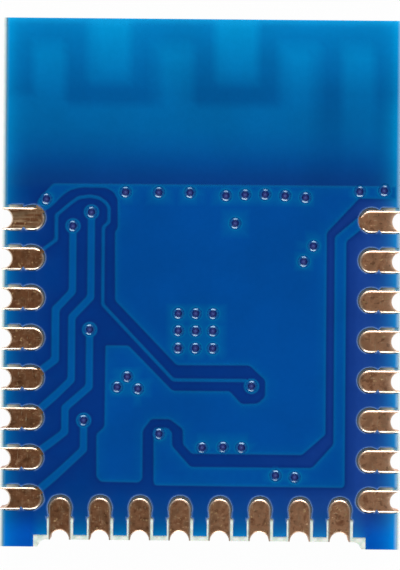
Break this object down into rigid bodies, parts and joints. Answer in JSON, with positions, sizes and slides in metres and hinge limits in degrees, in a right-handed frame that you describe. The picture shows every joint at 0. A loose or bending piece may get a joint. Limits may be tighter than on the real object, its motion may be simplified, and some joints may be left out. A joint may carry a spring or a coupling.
{
  "type": "bluetooth module",
  "caption": "Small radio module: a blue circuit board with half-round plated solder terminals on three edges, a printed antenna at one end, and a chip and small parts on its far face.",
  "frame": {"origin": "middle of the board's outline, on the plane that the chip's outer face rests on", "axes": "+Z out of the solder side, +Y towards the antenna end, +X to the right as the solder side is seen with the antenna end up"},
  "size_m": [0.015, 0.0198, 0.0018],
  "materials": {
    "laminate": "satin",
    "solder_mask": "gloss",
    "copper": "satin",
    "terminal_plating": "satin",
    "chip_resin": "matte",
    "tin": "satin",
    "solder": "satin",
    "dark_ceramic": "matte",
    "lid_metal": "satin",
    "tan_ceramic": "satin",
    "brown_ceramic": "satin",
    "white_ceramic": "gloss",
    "black_glaze": "gloss"
  },
  "bodies": {
    "root": {"laminate": "laminate", "solder_side_mask": "solder_mask", "component_side_mask": "solder_mask", "ground_copper": "copper", "supply_copper": "copper", "track_to_left_2": "copper", "track_to_left_5": "copper", "track_to_left_6": "copper", "track_to_left_7": "copper", "track_to_left_8": "copper", "component_side_tracks": "copper", "antenna": "copper", "ground_vias": "copper", "thermal_vias": "copper", "supply_vias": "copper", "signal_vias": "copper", "left_terminal_1": "terminal_plating", "left_terminal_2": "terminal_plating", "left_terminal_3": "terminal_plating", "left_terminal_4": "terminal_plating", "left_terminal_5": "terminal_plating", "left_terminal_6": "terminal_plating", "left_terminal_7": "terminal_plating", "left_terminal_8": "terminal_plating", "end_terminal_1": "terminal_plating", "end_terminal_2": "terminal_plating", "end_terminal_3": "terminal_plating", "end_terminal_4": "terminal_plating", "end_terminal_5": "terminal_plating", "end_terminal_6": "terminal_plating", "end_terminal_7": "terminal_plating", "end_terminal_8": "terminal_plating", "right_terminal_1": "terminal_plating", "right_terminal_2": "terminal_plating", "right_terminal_3": "terminal_plating", "right_terminal_4": "terminal_plating", "right_terminal_5": "terminal_plating", "right_terminal_6": "terminal_plating", "right_terminal_7": "terminal_plating", "right_terminal_8": "terminal_plating", "chip_body": "chip_resin", "chip_leads": "tin", "crystal_base": "dark_ceramic", "crystal_lid": "lid_metal", "capacitor_bodies": "tan_ceramic", "capacitor_ends": "tin", "bulk_capacitor_body": "brown_ceramic", "bulk_capacitor_ends": "tin", "inductor_body": "white_ceramic", "inductor_ends": "tin", "resistor_body": "black_glaze", "resistor_ends": "tin", "solder_joints": "solder"}
  },
  "joints": []
}
